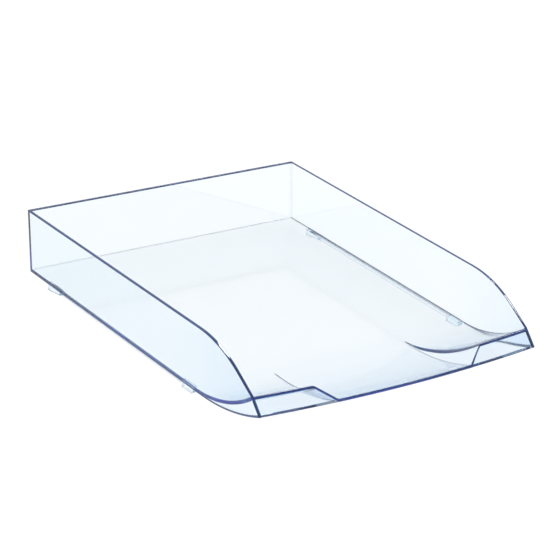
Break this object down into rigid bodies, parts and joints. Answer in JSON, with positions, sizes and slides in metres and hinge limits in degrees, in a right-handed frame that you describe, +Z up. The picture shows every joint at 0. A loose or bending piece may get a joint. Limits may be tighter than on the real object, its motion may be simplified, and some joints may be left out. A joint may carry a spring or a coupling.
{
  "type": "letter tray",
  "caption": "Clear stackable desk letter tray for A4 paper: low walls, sides that sweep down to a bowed front with a centre finger cut-out.",
  "frame": {"origin": "centre of the tray's length and width, level with the soles of its feet", "axes": "+X to the right seen from the front, +Y to the back wall, +Z up; the open front faces -Y"},
  "size_m": [0.257, 0.3474, 0.0572],
  "materials": {
    "clear_polystyrene": "clear pale blue polystyrene, polished mould faces"
  },
  "bodies": {
    "root": {"floor_panel": "clear_polystyrene", "back_wall": "clear_polystyrene", "centre_apron": "clear_polystyrene", "left_side_wall": "clear_polystyrene", "right_side_wall": "clear_polystyrene", "left_front_ramp": "clear_polystyrene", "right_front_ramp": "clear_polystyrene", "left_cheek": "clear_polystyrene", "right_cheek": "clear_polystyrene", "left_front_lip": "clear_polystyrene", "right_front_lip": "clear_polystyrene", "left_stacking_rail": "clear_polystyrene", "right_stacking_rail": "clear_polystyrene", "left_rear_foot": "clear_polystyrene", "right_rear_foot": "clear_polystyrene", "left_front_foot": "clear_polystyrene", "right_front_foot": "clear_polystyrene"}
  },
  "joints": []
}
